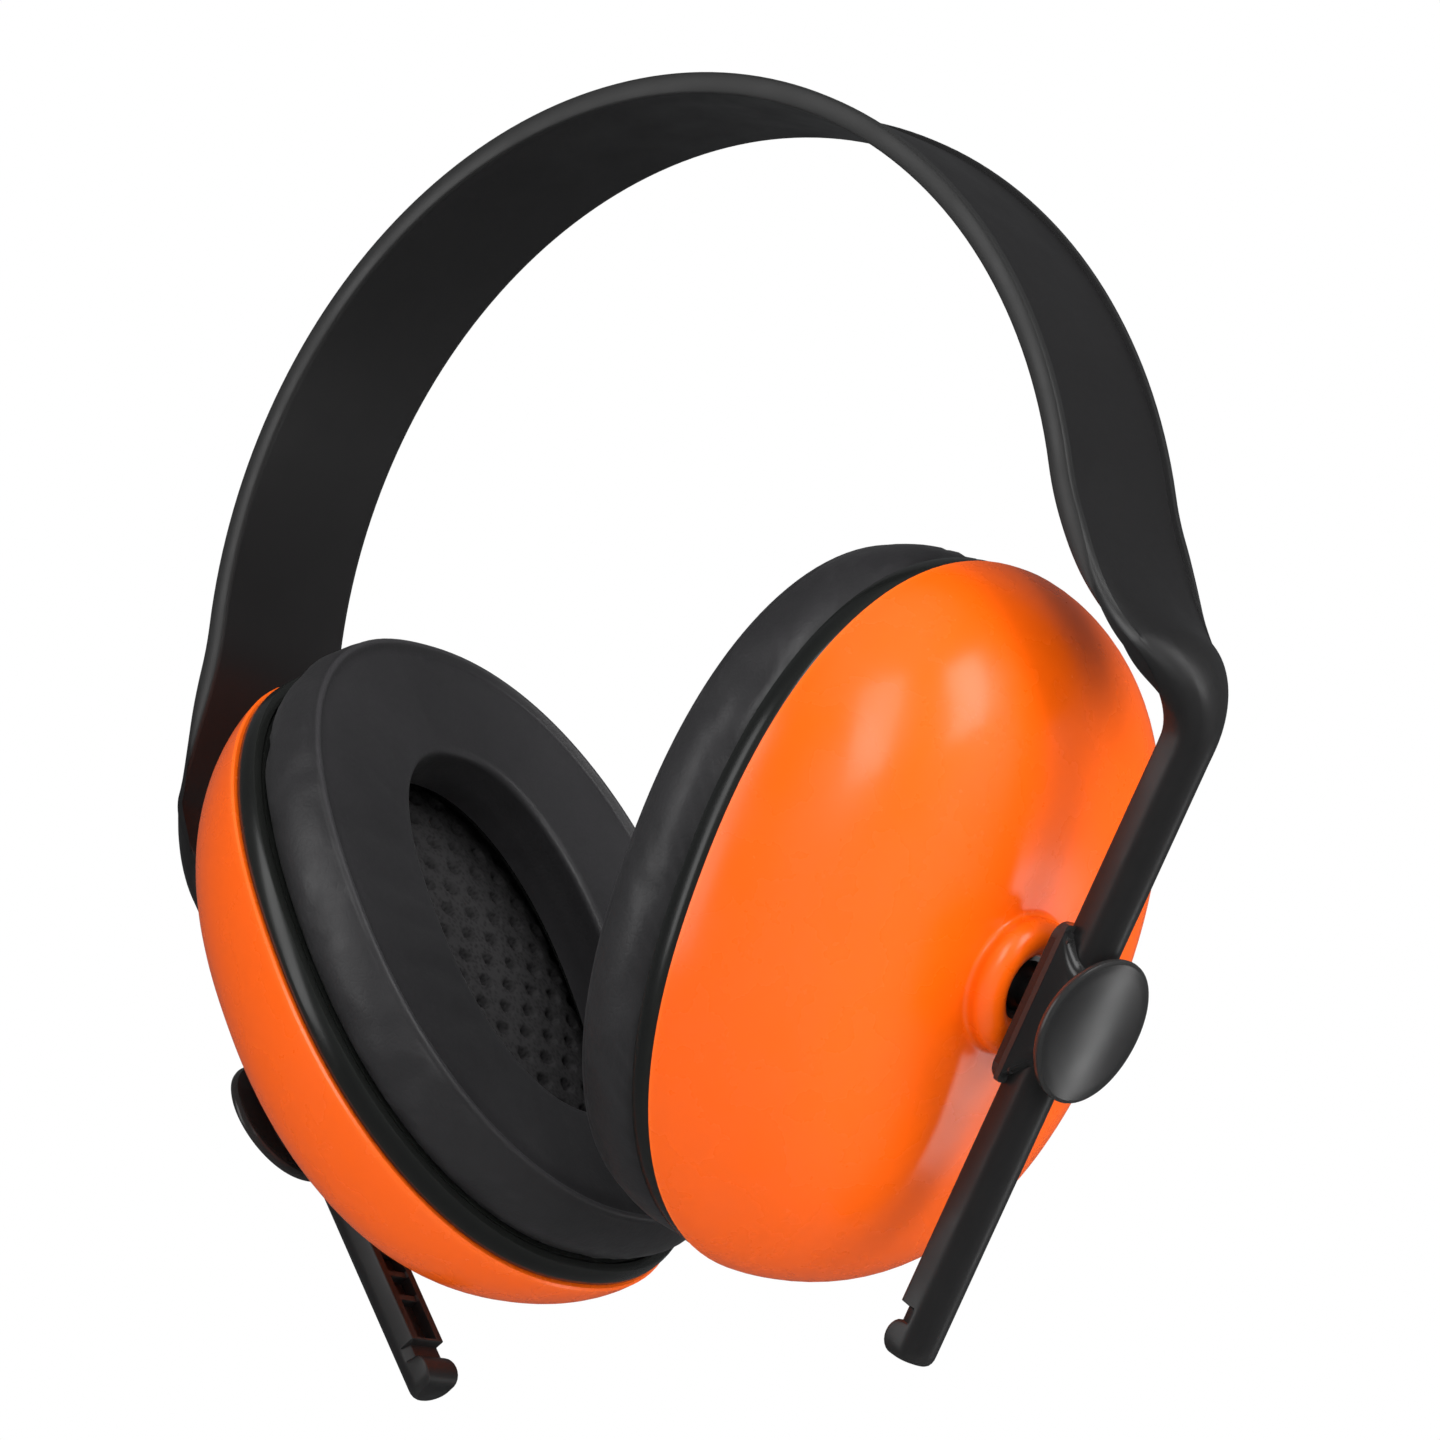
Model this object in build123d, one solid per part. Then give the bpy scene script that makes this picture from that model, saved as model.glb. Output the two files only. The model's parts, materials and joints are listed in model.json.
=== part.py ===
from build123d import *
import math
import os

# Earmuff hearing protector: one sprung headband, two sliders, two ball pivots and two padded cups.
# Millimetres. +X runs from ear to ear, +Z up to the crown, and the headband's arc lies in the XZ
# plane. The origin is under the crown, level with the lowest point of the two arms. The right-hand
# (+X) side is built first, and the left-hand side is its mirror image across the YZ plane.

# ---- headband -------------------------------------------------------------------------------------
BOW_RADIUS = 78.5            # middle of the band's thickness, over the head
BOW_CENTRE_Z = 107.57        # height of the arc's centre
BOW_END_ANGLE = 7.9          # degrees above the horizontal where the round bow stops
BAND_THICKNESS = 2.5
BAND_HALF_WIDTH = 13.15
LIP_WIDTH = 1.3              # raised lip along both edges of the bow
LIP_HEIGHT = 0.7
FLARE_RADIUS = 45.2          # the band bends outwards below the bow
SHOULDER_RADIUS = 12.0       # and turns back in at the shoulder, where the arm starts
TAPER_TOP_Z = 108.0          # the width narrows from the band's to the arm's between these heights
TAPER_BOTTOM_Z = 78.9
TAPER_SHAPE = ((0.36, 0.88), (0.70, 0.51))   # share of the drop, share of the band's half-width
TRANSITION_STEPS = 5         # outline points on each arc between the bow and the arm

# ---- arms -----------------------------------------------------------------------------------------
ARM_LEAN = 30.9              # degrees from the vertical, closing towards the wearer's jaw
ARM_WIDTH = 6.8
ARM_THICKNESS = 6.0
ARM_BELOW_PIVOT = 51.7       # from the pivot's level to the tip
CHANNEL_WIDTH = 4.0          # groove in the arm's flat inner face, crossed by ribs
CHANNEL_DEPTH = 1.7
RIB_PITCH = 4.2
RIB_THICKNESS = 0.8
STOP_LENGTH = 5.0            # knob at the tip that keeps the slider on
STOP_HEIGHT = 0.3            # how far it stands out of the flat inner face
STOP_NOTCH = 2.2             # groove above the knob
STOP_DEPTH = 1.2             # how deep the groove is cut

# ---- slider ---------------------------------------------------------------------------------------
PIVOT_X = 69.77              # where the pivot's axis crosses the middle of the arm
PIVOT_Z = 45.903
SLIDE_CLEARANCE = 0.06       # between the slider and the arm
DISC_RADIUS = 10.55
DISC_TOP = 5.5               # outer face of the disc, from the middle of the arm
DISC_THICKNESS = 1.8
SADDLE_LENGTH = 23.3
SADDLE_WIDTH = 11.0
SADDLE_NECK_LENGTH = 15.0    # where the saddle meets the disc
SADDLE_NECK_WIDTH = 10.0
SADDLE_CORNER = 2.5
BASE_THICKNESS = 1.04
HUB_RADIUS = 3.4             # round hub on the base plate that the ball stud turns in
HUB_DEPTH = 1.3
PEG_RADIUS = 0.7
PEG_HEIGHT = 1.6
PEG_SPACING = (18.6, 8.8)

# ---- ball pivot -----------------------------------------------------------------------------------
RUNNING_CLEARANCE = 0.05
BALL_RADIUS = 4.0
BALL_DEPTH = 11.3            # ball centre, inwards from the middle of the arm
NECK_RADIUS = 2.1
STUD_HEAD_RADIUS = 2.5
STUD_COLLAR_RADIUS = 2.6
STUD_COLLAR_THICKNESS = 0.5
STUD_SLOT = 0.7              # slot that lets the stud's head snap through the hub
SOCKET_RADIUS = 6.2
SOCKET_BELOW = 5.0           # socket's inner end, from the ball's centre
SOCKET_ABOVE = 3.0
SOCKET_MOUTH_RADIUS = 3.5
SOCKET_RIM_RADIUS = 4.3
SOCKET_FLANGE_RADIUS = 7.8
SOCKET_FLANGE_THICKNESS = 1.0
SNAP_BEAD = 0.25             # ring round the socket that clicks into a groove in the cup's bore
SNAP_BEAD_HALF = 1.0

# ---- cup ------------------------------------------------------------------------------------------
CUP_LEAN = 25.9              # degrees: the cups are a little more upright than the arms
CUP_BALL_HEIGHT = 23.3       # ball centre above the cup's rim plane
CUP_HALF_LENGTH = 52.2
CUP_HALF_WIDTH = 41.1
CUP_HEIGHT = 24.25
CUP_WALL = 2.2
OVAL_POWER = 2.24            # 2 is an ellipse; larger is squarer
OVAL_POINTS = 32
DOME_POWER_UP = 1.57         # the dome's side profile: steep walls, rounded corner, flat crown
DOME_POWER_IN = 4.33
DOME_LEVELS = (0.0, 0.3, 0.55, 0.75, 0.88, 0.95, 0.985)
BOSS_RING_RADIUS = 6.95      # rolled ring round the pivot hole
BOSS_TUBE_RADIUS = 2.35
BOSS_RING_HEIGHT = 26.2
BOSS_HOLE_RADIUS = 4.6
BOSS_OUTER_RADIUS = 9.0

# ---- seal, cushion and foam, measured inwards from the cup's rim plane ------------------------------
SEAL_DEPTH = 2.4
SEAL_INSET = 0.8
SEAL_SKIRT_DEPTH = 3.9       # the ring's outer wall reaches down round the cushion's plate
SEAL_SKIRT_INSET = 2.2
SEAL_SPIGOT_HEIGHT = 3.0
SEAL_OPENING = (38.0, 27.0)
PLATE_DEPTH = 3.9
PLATE_INSET = 2.4
PLATE_OPENING = (34.0, 22.0)
CUSHION_FACE_DEPTH = 15.5
CUSHION_BULGE_DEPTH = 7.8
CUSHION_BACK = (48.4, 37.4)
CUSHION_BULGE = (51.3, 40.2)
CUSHION_FACE = (49.4, 38.2)
EAR_OPENING = (30.9, 19.0)
EAR_OPENING_BACK = (32.2, 20.2)
SKIN = 1.2                   # the cover's thickness with its sewn edges
FOAM_GAP = 0.1
LINER_BOTTOM = 3.2           # acoustic foam block in the cup
LINER_TOP = 16.8
LINER_INSET = 1.0
PAD_BOTTOM = -0.6            # dimpled foam pad over the block
PAD_TOP = 2.8
PAD_INSET = 0.4


def lean_plane(x, z, lean):
    """A plane with local x running down a part that leans inwards by lean, and z pointing outwards."""
    angle = math.radians(lean)
    down = (-math.sin(angle), 0, -math.cos(angle))
    outwards = (math.cos(angle), 0, -math.sin(angle))
    return Plane(origin=(x, 0, z), x_dir=down, z_dir=outwards)


def point_on(plane, x=0.0, y=0.0, z=0.0):
    return plane.from_local_coords(Vector(x, y, z))


ARM_PLANE = lean_plane(PIVOT_X, PIVOT_Z, ARM_LEAN)
BALL_CENTRE = point_on(ARM_PLANE, z=-BALL_DEPTH)
BALL_IN_CUP = lean_plane(BALL_CENTRE.X, BALL_CENTRE.Z, CUP_LEAN)
RIM_CENTRE = point_on(BALL_IN_CUP, z=-CUP_BALL_HEIGHT)
CUP_PLANE = lean_plane(RIM_CENTRE.X, RIM_CENTRE.Z, CUP_LEAN)


# ---- headband -------------------------------------------------------------------------------------
def band_arcs():
    """Centres of the flare and the shoulder, and the directions where they start and end."""
    end = math.radians(BOW_END_ANGLE)
    bow = Vector(0, BOW_CENTRE_Z)
    radial = Vector(math.cos(end), math.sin(end))
    flare = bow + radial * (BOW_RADIUS + FLARE_RADIUS)
    down = Vector(ARM_PLANE.x_dir.X, ARM_PLANE.x_dir.Z)
    outwards = Vector(ARM_PLANE.z_dir.X, ARM_PLANE.z_dir.Z)
    # the shoulder's centre is one shoulder radius inside the arm's line and its circle touches
    # the flare's circle, so it lies on the arm-side crossing of a line and a circle
    start = Vector(PIVOT_X, PIVOT_Z) - outwards * SHOULDER_RADIUS
    offset = start - flare
    along = offset.dot(down)
    reach = FLARE_RADIUS + SHOULDER_RADIUS
    shoulder = start - down * (along - math.sqrt(along**2 - offset.dot(offset) + reach**2))
    return flare, shoulder, radial, outwards


def arc_points(centre, radius, first, last, count, facing):
    """Evenly spaced points on an arc, each with the band's outward normal there."""
    points = []
    for i in range(count + 1):
        angle = first + (last - first) * i / count
        normal = Vector(math.cos(angle), math.sin(angle))
        points.append((centre + normal * radius, normal * facing))
    return points


def direction(vector):
    return math.atan2(vector.Y, vector.X)


def transition_points():
    """The middle of the band's thickness from the bow's end to the straight arm."""
    flare, shoulder, radial, outwards = band_arcs()
    meeting = (shoulder - flare).normalized()
    flare_part = arc_points(
        flare, FLARE_RADIUS, direction(radial) - math.pi, direction(meeting), TRANSITION_STEPS, -1
    )
    shoulder_part = arc_points(
        shoulder, SHOULDER_RADIUS, direction(meeting * -1), direction(outwards), TRANSITION_STEPS, 1
    )
    return flare_part + shoulder_part[1:]


def side_face(edges):
    """A face in the plane of the headband, from edges drawn in local x and y."""
    return Plane.XZ * make_face(edges)


def bow_strip(inner, outer):
    """Half of the bow's side view, between two offsets from the middle of its thickness."""
    sweep = 90 - BOW_END_ANGLE
    low = CenterArc((0, BOW_CENTRE_Z), BOW_RADIUS + inner, BOW_END_ANGLE, sweep)
    high = CenterArc((0, BOW_CENTRE_Z), BOW_RADIUS + outer, BOW_END_ANGLE, sweep)
    return side_face([low, high, Line(low @ 0, high @ 0), Line(low @ 1, high @ 1)])


def transition_strip():
    """The flare and the shoulder's side view, thickening from the band to the arm."""
    points = transition_points()
    sides = {-1: [], 1: []}
    for i, (point, normal) in enumerate(points):
        grown = min(1.0, i / (len(points) - 3))
        smooth = grown * grown * (3 - 2 * grown)
        half = (BAND_THICKNESS + (ARM_THICKNESS - BAND_THICKNESS) * smooth) / 2
        for side in sides:
            sides[side].append(point + normal * half * side)
    inner = Spline(sides[-1])
    outer = Spline(sides[1])
    return side_face([inner, outer, Line(inner @ 0, outer @ 0), Line(inner @ 1, outer @ 1)])


def width_outline():
    """The band seen from the side of the head: full width, then narrowing to the arm's width."""
    top = BOW_CENTRE_Z + BOW_RADIUS + BAND_THICKNESS
    drop = TAPER_TOP_Z - TAPER_BOTTOM_Z
    narrow = ARM_WIDTH / 2
    between = [
        (BAND_HALF_WIDTH * width_share, TAPER_TOP_Z - drop * drop_share)
        for drop_share, width_share in TAPER_SHAPE
    ]
    taper = Spline(
        (BAND_HALF_WIDTH, TAPER_TOP_Z), *between, (narrow, TAPER_BOTTOM_Z), tangents=[(0, -1), (0, -1)]
    )
    edges = [
        Line((0, top), (BAND_HALF_WIDTH, top)),
        Line((BAND_HALF_WIDTH, top), (BAND_HALF_WIDTH, TAPER_TOP_Z)),
        taper,
        Line((narrow, TAPER_BOTTOM_Z), (narrow, 0)),
        Line((narrow, 0), (0, 0)),
        Line((0, 0), (0, top)),
    ]
    half = extrude(Plane.YZ * make_face(edges), PIVOT_X * 2)
    return half + mirror(half, about=Plane.XZ)


def arm_section(gap=0.0):
    """The arm's D-shaped section: flat towards the head, half round outside."""
    half = ARM_WIDTH / 2 + gap
    flat = -ARM_THICKNESS / 2 - gap
    spring = ARM_THICKNESS / 2 - ARM_WIDTH / 2
    edges = [
        Line((flat, -half), (flat, half)),
        Line((flat, half), (spring, half)),
        ThreePointArc((spring, half), (spring + half, 0), (spring, -half)),
        Line((spring, -half), (flat, -half)),
    ]
    return make_face(edges)


def arm_rod(start, stop, gap=0.0):
    """A straight length of the arm's section, between two distances along the arm."""
    across = Plane(
        origin=point_on(ARM_PLANE, x=start), x_dir=ARM_PLANE.z_dir, z_dir=ARM_PLANE.x_dir
    )
    return extrude(across * arm_section(gap), stop - start)


def arm_box(start, stop, width, low, high):
    """A block in the arm's own directions: along it, across it and out from its middle."""
    block = Box(stop - start, width, high - low)
    return ARM_PLANE * Pos((start + stop) / 2, 0, (low + high) / 2) * block


def arm():
    """The straight arm, with its ribbed channel and the knob that stops the slider."""
    top = ARM_PLANE.to_local_coords(Vector(*shoulder_end())).X
    flat = -ARM_THICKNESS / 2
    knob_top = ARM_BELOW_PIVOT - STOP_LENGTH
    rod = arm_rod(top, ARM_BELOW_PIVOT)
    channel_end = knob_top - STOP_NOTCH
    rod -= arm_box(top + RIB_PITCH, channel_end, CHANNEL_WIDTH, flat, flat + CHANNEL_DEPTH)
    rib_count = int((channel_end - top) / RIB_PITCH) - 1
    for i in range(rib_count):
        low = top + RIB_PITCH * (i + 1.5)
        rod += arm_box(low, low + RIB_THICKNESS, CHANNEL_WIDTH, flat, flat + CHANNEL_DEPTH)
    rod -= arm_box(knob_top - STOP_NOTCH, knob_top, ARM_WIDTH, flat, flat + STOP_DEPTH)
    knob_centre = point_on(
        ARM_PLANE, x=ARM_BELOW_PIVOT - STOP_LENGTH / 2, z=flat - STOP_HEIGHT + STOP_LENGTH / 2
    )
    knob = Plane(origin=knob_centre, x_dir=ARM_PLANE.x_dir, z_dir=(0, 1, 0))
    rod += extrude(knob * Circle(STOP_LENGTH / 2), ARM_WIDTH / 2, both=True)
    return rod


def shoulder_end():
    point = transition_points()[-1][0]
    return point.X, 0, point.Y


def headband_half():
    """One half of the headband from the crown down to the tip of its arm."""
    strip = bow_strip(-BAND_THICKNESS / 2, BAND_THICKNESS / 2)
    band = extrude(strip, BAND_HALF_WIDTH, both=True)
    lip_face = bow_strip(BAND_THICKNESS / 2 - LIP_HEIGHT, BAND_THICKNESS / 2 + LIP_HEIGHT)
    lip = Pos(0, BAND_HALF_WIDTH - LIP_WIDTH / 2, 0) * extrude(lip_face, LIP_WIDTH / 2, both=True)
    band += lip + mirror(lip, about=Plane.XZ)
    band += extrude(transition_strip(), BAND_HALF_WIDTH, both=True)
    return (band & width_outline()) + arm()


# ---- slider ---------------------------------------------------------------------------------------
def peg_places():
    length, width = PEG_SPACING
    return [(x * length / 2, y * width / 2) for x in (-1, 1) for y in (-1, 1)]


BASE_TOP = -ARM_THICKNESS / 2 - SLIDE_CLEARANCE
BASE_BOTTOM = BASE_TOP - BASE_THICKNESS
HUB_BOTTOM = BASE_BOTTOM - HUB_DEPTH


def slider_base():
    """The plate behind the arm: it closes the slider and holds the ball stud."""
    outline = RectangleRounded(SADDLE_LENGTH, SADDLE_WIDTH, SADDLE_CORNER)
    plate = extrude(Pos(0, 0, BASE_BOTTOM) * outline, BASE_THICKNESS)
    plate += Pos(0, 0, HUB_BOTTOM + HUB_DEPTH / 2) * Cylinder(HUB_RADIUS, HUB_DEPTH)
    head_room = STUD_HEAD_RADIUS + RUNNING_CLEARANCE
    plate -= Pos(0, 0, BASE_TOP - BASE_THICKNESS / 2) * Cylinder(head_room, BASE_THICKNESS)
    bore = NECK_RADIUS + RUNNING_CLEARANCE
    plate -= Pos(0, 0, HUB_BOTTOM) * Cylinder(bore, HUB_DEPTH * 3)
    for x, y in peg_places():
        plate += Pos(x, y, BASE_TOP + PEG_HEIGHT / 2) * Cylinder(PEG_RADIUS, PEG_HEIGHT)
    return ARM_PLANE * plate


def slider_cap():
    """The saddle over the arm, with the round disc that the fingers push."""
    disc_bottom = DISC_TOP - DISC_THICKNESS
    foot_outline = RectangleRounded(SADDLE_LENGTH, SADDLE_WIDTH, SADDLE_CORNER)
    neck_outline = RectangleRounded(SADDLE_NECK_LENGTH, SADDLE_NECK_WIDTH, SADDLE_CORNER)
    foot = Pos(0, 0, BASE_TOP) * foot_outline
    neck = Pos(0, 0, disc_bottom) * neck_outline
    saddle = loft([foot, neck], ruled=True)
    disc = Pos(0, 0, disc_bottom + DISC_THICKNESS / 2) * Cylinder(DISC_RADIUS, DISC_THICKNESS)
    disc = fillet(disc.edges().group_by(Axis.Z)[-1], DISC_THICKNESS / 3)
    cap = ARM_PLANE * (saddle + disc)
    cap -= arm_rod(-SADDLE_LENGTH, SADDLE_LENGTH, SLIDE_CLEARANCE)
    for x, y in peg_places():
        hole = Cylinder(PEG_RADIUS + RUNNING_CLEARANCE, PEG_HEIGHT + RUNNING_CLEARANCE)
        cap -= ARM_PLANE * Pos(x, y, BASE_TOP + PEG_HEIGHT / 2) * hole
    return cap


# ---- ball pivot -----------------------------------------------------------------------------------
def turned(points):
    """A solid turned about local z from an outline of (radius, height) points."""
    outline = Polyline(*points, close=True)
    return revolve(Plane.XZ * make_face(outline), Axis.Z)


def ball_stud():
    """The stud: a split head snapped through the hub, a collar, a neck and the ball."""
    head_bottom = BASE_BOTTOM + RUNNING_CLEARANCE
    head_top = BASE_TOP - RUNNING_CLEARANCE
    collar_top = HUB_BOTTOM - RUNNING_CLEARANCE
    collar_bottom = collar_top - STUD_COLLAR_THICKNESS
    stud = turned([
        (0, -BALL_DEPTH),
        (NECK_RADIUS, -BALL_DEPTH),
        (NECK_RADIUS, collar_bottom),
        (STUD_COLLAR_RADIUS, collar_bottom),
        (STUD_COLLAR_RADIUS, collar_top),
        (NECK_RADIUS, collar_top),
        (NECK_RADIUS, head_bottom),
        (STUD_HEAD_RADIUS, head_bottom),
        (NECK_RADIUS, head_top),
        (0, head_top),
    ])
    stud += Pos(0, 0, -BALL_DEPTH) * Sphere(BALL_RADIUS)
    slot_depth = head_top - collar_top
    stud -= Pos(0, 0, head_top - slot_depth / 2) * Box(STUD_HEAD_RADIUS * 2, STUD_SLOT, slot_depth)
    return ARM_PLANE * stud


def socket_blank(gap=0.0):
    """The socket's outside, or with a gap the bore that it snaps into."""
    radius = SOCKET_RADIUS + gap
    flange = SOCKET_FLANGE_RADIUS + gap
    return turned([
        (0, -SOCKET_BELOW - SOCKET_FLANGE_THICKNESS),
        (flange, -SOCKET_BELOW - SOCKET_FLANGE_THICKNESS),
        (flange, -SOCKET_BELOW),
        (radius, -SOCKET_BELOW),
        (radius, -SNAP_BEAD_HALF - SNAP_BEAD),
        (radius + SNAP_BEAD, -SNAP_BEAD_HALF),
        (radius + SNAP_BEAD, SNAP_BEAD_HALF),
        (radius, SNAP_BEAD_HALF + SNAP_BEAD),
        (radius, SOCKET_ABOVE + gap),
        (0, SOCKET_ABOVE + gap),
    ])


def pivot_socket():
    """The bush in the cup's boss that holds the ball past its middle."""
    cavity = BALL_RADIUS + RUNNING_CLEARANCE
    mouth_height = math.sqrt(cavity**2 - SOCKET_MOUTH_RADIUS**2)
    mouth = turned([
        (0, 0),
        (SOCKET_MOUTH_RADIUS, 0),
        (SOCKET_MOUTH_RADIUS, mouth_height),
        (SOCKET_RIM_RADIUS, SOCKET_ABOVE + 1),
        (0, SOCKET_ABOVE + 1),
    ])
    return BALL_IN_CUP * (socket_blank() - Sphere(cavity) - mouth)


# ---- cup ------------------------------------------------------------------------------------------
def oval(half_length, half_width, height):
    """A closed superellipse, longer along local x, at a height above the cup's rim plane."""
    points = []
    for i in range(OVAL_POINTS):
        angle = 2 * math.pi * i / OVAL_POINTS
        cosine = math.cos(angle)
        sine = math.sin(angle)
        x = half_length * math.copysign(abs(cosine) ** (2 / OVAL_POWER), cosine)
        y = half_width * math.copysign(abs(sine) ** (2 / OVAL_POWER), sine)
        points.append((x, y))
    return Pos(0, 0, height) * make_face(Spline(points, periodic=True))


def dome(inset):
    """The cup's domed solid, made smaller all round by inset."""
    sections = []
    for level in DOME_LEVELS:
        scale = (1 - level**DOME_POWER_UP) ** (1 / DOME_POWER_IN)
        half_length = (CUP_HALF_LENGTH - inset) * scale
        half_width = (CUP_HALF_WIDTH - inset) * scale
        sections.append(oval(half_length, half_width, (CUP_HEIGHT - inset) * level))
    return loft(sections)


def oval_ring(outer, inner, low, high):
    """A flat ring between two ovals, from one height to another."""
    ring = extrude(oval(*outer, low), high - low)
    return ring - extrude(oval(*inner, low), high - low)


def inset_oval(inset):
    return CUP_HALF_LENGTH - inset, CUP_HALF_WIDTH - inset


def cup_shell():
    """The hard shell, with the rolled ring and the bore for the pivot socket."""
    shell = dome(0) - dome(CUP_WALL)
    boss_low = CUP_BALL_HEIGHT - SOCKET_BELOW
    boss_height = BOSS_RING_HEIGHT - boss_low
    shell += Pos(0, 0, boss_low + boss_height / 2) * Cylinder(BOSS_OUTER_RADIUS, boss_height)
    shell += Pos(0, 0, BOSS_RING_HEIGHT) * Torus(BOSS_RING_RADIUS, BOSS_TUBE_RADIUS)
    shell -= Pos(0, 0, CUP_BALL_HEIGHT) * socket_blank(RUNNING_CLEARANCE)
    shell -= Pos(0, 0, CUP_BALL_HEIGHT + CUP_HEIGHT / 2) * Cylinder(BOSS_HOLE_RADIUS, CUP_HEIGHT)
    return CUP_PLANE * shell


def seal_ring():
    """The ring that closes the shell's rim and carries the cushion."""
    ring = oval_ring(inset_oval(SEAL_INSET), SEAL_OPENING, -SEAL_DEPTH, 0)
    skirt_inside = inset_oval(SEAL_SKIRT_INSET)
    ring += oval_ring(inset_oval(SEAL_INSET), skirt_inside, -SEAL_SKIRT_DEPTH, -SEAL_DEPTH)
    spigot_outside = inset_oval(CUP_WALL + FOAM_GAP)
    spigot_inside = inset_oval(CUP_WALL * 2)
    spigot = oval_ring(spigot_outside, spigot_inside, 0, SEAL_SPIGOT_HEIGHT)
    return CUP_PLANE * (ring + (spigot & dome(CUP_WALL + FOAM_GAP)))


def cushion_plate():
    """The stiff ring at the back of the cushion."""
    return CUP_PLANE * oval_ring(
        inset_oval(PLATE_INSET), PLATE_OPENING, -PLATE_DEPTH, -SEAL_DEPTH
    )


def cushion_ring(skin, back):
    """The cushion's padded ring, made smaller by skin, from back to its face."""
    face = CUSHION_FACE_DEPTH - skin
    outside = loft([
        oval(CUSHION_BACK[0] - skin, CUSHION_BACK[1] - skin, -back),
        oval(CUSHION_BULGE[0] - skin, CUSHION_BULGE[1] - skin, -CUSHION_BULGE_DEPTH),
        oval(CUSHION_FACE[0] - skin, CUSHION_FACE[1] - skin, -face),
    ])
    inside = loft([
        oval(EAR_OPENING_BACK[0] + skin, EAR_OPENING_BACK[1] + skin, -back),
        oval(EAR_OPENING[0] + skin, EAR_OPENING[1] + skin, -face),
    ])
    return outside - inside


def cushion_cover():
    """The cushion's skin, open at the back where the plate closes it."""
    return CUP_PLANE * (cushion_ring(0, PLATE_DEPTH) - cushion_ring(SKIN, PLATE_DEPTH))


def cushion_foam():
    """The soft foam ring that fills the cushion's skin."""
    return CUP_PLANE * cushion_ring(SKIN + FOAM_GAP, PLATE_DEPTH)


def cup_liner():
    """The block of sound-absorbing foam inside the cup."""
    outline = oval(*inset_oval(CUP_WALL * 2 + LINER_INSET), LINER_BOTTOM)
    block = extrude(outline, LINER_TOP - LINER_BOTTOM)
    return CUP_PLANE * (block & dome(CUP_WALL + LINER_INSET))


def ear_pad():
    """The thin dimpled foam pad that faces the ear."""
    length, width = SEAL_OPENING
    outline = oval(length - PAD_INSET, width - PAD_INSET, PAD_BOTTOM)
    return CUP_PLANE * extrude(outline, PAD_TOP - PAD_BOTTOM)


# ---- both sides -----------------------------------------------------------------------------------
PIECES = {
    "headband": headband_half,
    "slider_cap": slider_cap,
    "slider_base": slider_base,
    "ball_stud": ball_stud,
    "pivot_socket": pivot_socket,
    "cup_shell": cup_shell,
    "seal_ring": seal_ring,
    "cushion_plate": cushion_plate,
    "cushion_cover": cushion_cover,
    "cushion_foam": cushion_foam,
    "cup_liner": cup_liner,
    "ear_pad": ear_pad,
}

os.makedirs("parts", exist_ok=True)
for name, make in PIECES.items():
    right = make()
    export_step(right, f"parts/right_{name}.step")
    export_step(mirror(right, about=Plane.YZ), f"parts/left_{name}.step")
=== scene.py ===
import json
import math

import bmesh
import bpy
import numpy as np
from mathutils import Matrix, Vector


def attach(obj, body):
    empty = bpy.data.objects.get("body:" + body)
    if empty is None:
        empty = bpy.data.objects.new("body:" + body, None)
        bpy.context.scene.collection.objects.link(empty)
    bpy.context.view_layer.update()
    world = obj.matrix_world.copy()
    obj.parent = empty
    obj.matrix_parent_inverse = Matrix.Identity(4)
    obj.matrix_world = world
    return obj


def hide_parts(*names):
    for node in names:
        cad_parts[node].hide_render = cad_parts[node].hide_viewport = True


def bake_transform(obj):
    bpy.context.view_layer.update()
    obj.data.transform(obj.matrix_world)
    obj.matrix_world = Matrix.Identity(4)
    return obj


# Earmuff hearing protector: the looks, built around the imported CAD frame. Metres; MM is one millimetre.
# Every shape is made for the right-hand (+X) side and mirrored across X = 0 for the left-hand side.

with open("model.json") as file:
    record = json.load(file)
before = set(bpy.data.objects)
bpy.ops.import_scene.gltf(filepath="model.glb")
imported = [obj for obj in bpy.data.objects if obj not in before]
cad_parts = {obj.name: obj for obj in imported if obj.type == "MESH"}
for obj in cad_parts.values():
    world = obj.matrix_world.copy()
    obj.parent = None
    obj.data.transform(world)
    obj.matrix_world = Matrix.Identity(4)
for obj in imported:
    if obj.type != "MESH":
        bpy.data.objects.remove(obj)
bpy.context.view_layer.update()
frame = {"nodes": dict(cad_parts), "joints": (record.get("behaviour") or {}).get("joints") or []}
MM = 0.001
joints = {joint["name"]: joint for joint in frame["joints"]}

# ---- places and directions, from the frame ----------------------------------------------------------
ball = np.array(joints["right_cup_turn"]["pos_m"])
cup_out = np.array(joints["right_cup_turn"]["axis"])
arm_down = np.array(joints["right_slider_travel"]["axis"])
arm_out = np.array(joints["right_stud_swivel"]["axis"])
crown = np.array(joints["headband_spread"]["pos_m"])
front = np.array([0.0, 1.0, 0.0])
cup_down = np.cross(front, cup_out)
arm_down /= np.linalg.norm(arm_down)


def node_extent(node, direction, origin):
    """How far a CAD node reaches along a direction, as (lowest, highest) distances from origin."""
    mesh = frame["nodes"][node].data
    points = np.zeros(len(mesh.vertices) * 3)
    mesh.vertices.foreach_get("co", points)
    along = (points.reshape(-1, 3) - origin) @ direction
    return along.min(), along.max()


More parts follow.
